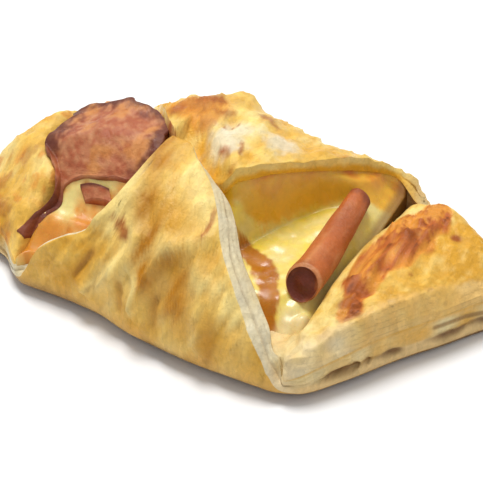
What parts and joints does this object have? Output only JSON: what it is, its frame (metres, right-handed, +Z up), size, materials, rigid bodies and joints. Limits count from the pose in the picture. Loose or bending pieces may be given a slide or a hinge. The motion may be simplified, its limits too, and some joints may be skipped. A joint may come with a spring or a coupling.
{
  "type": "bacon and cheese turnover",
  "caption": "Puff pastry square folded corner over corner round a cheese filling, open at both ends, with bacon showing in the openings.",
  "frame": {"origin": "centre of the outline seen from above, on the surface the turnover rests on", "axes": "+X along the turnover from its left tip to its right tip, +Y away from the viewer to the far side, +Z up"},
  "size_m": [0.1624, 0.0883, 0.043],
  "materials": {
    "pastry": "baked, dry, lightly glossy where glazed",
    "cheese": "melted, glossy",
    "rasher": "baked, greasy sheen",
    "bit": "baked, greasy sheen",
    "roll": "baked, greasy sheen"
  },
  "bodies": {
    "root": {"pastry": "pastry", "cheese_filling": "cheese", "bacon_rasher": "rasher", "bacon_bit": "bit", "bacon_roll": "roll"}
  },
  "joints": []
}
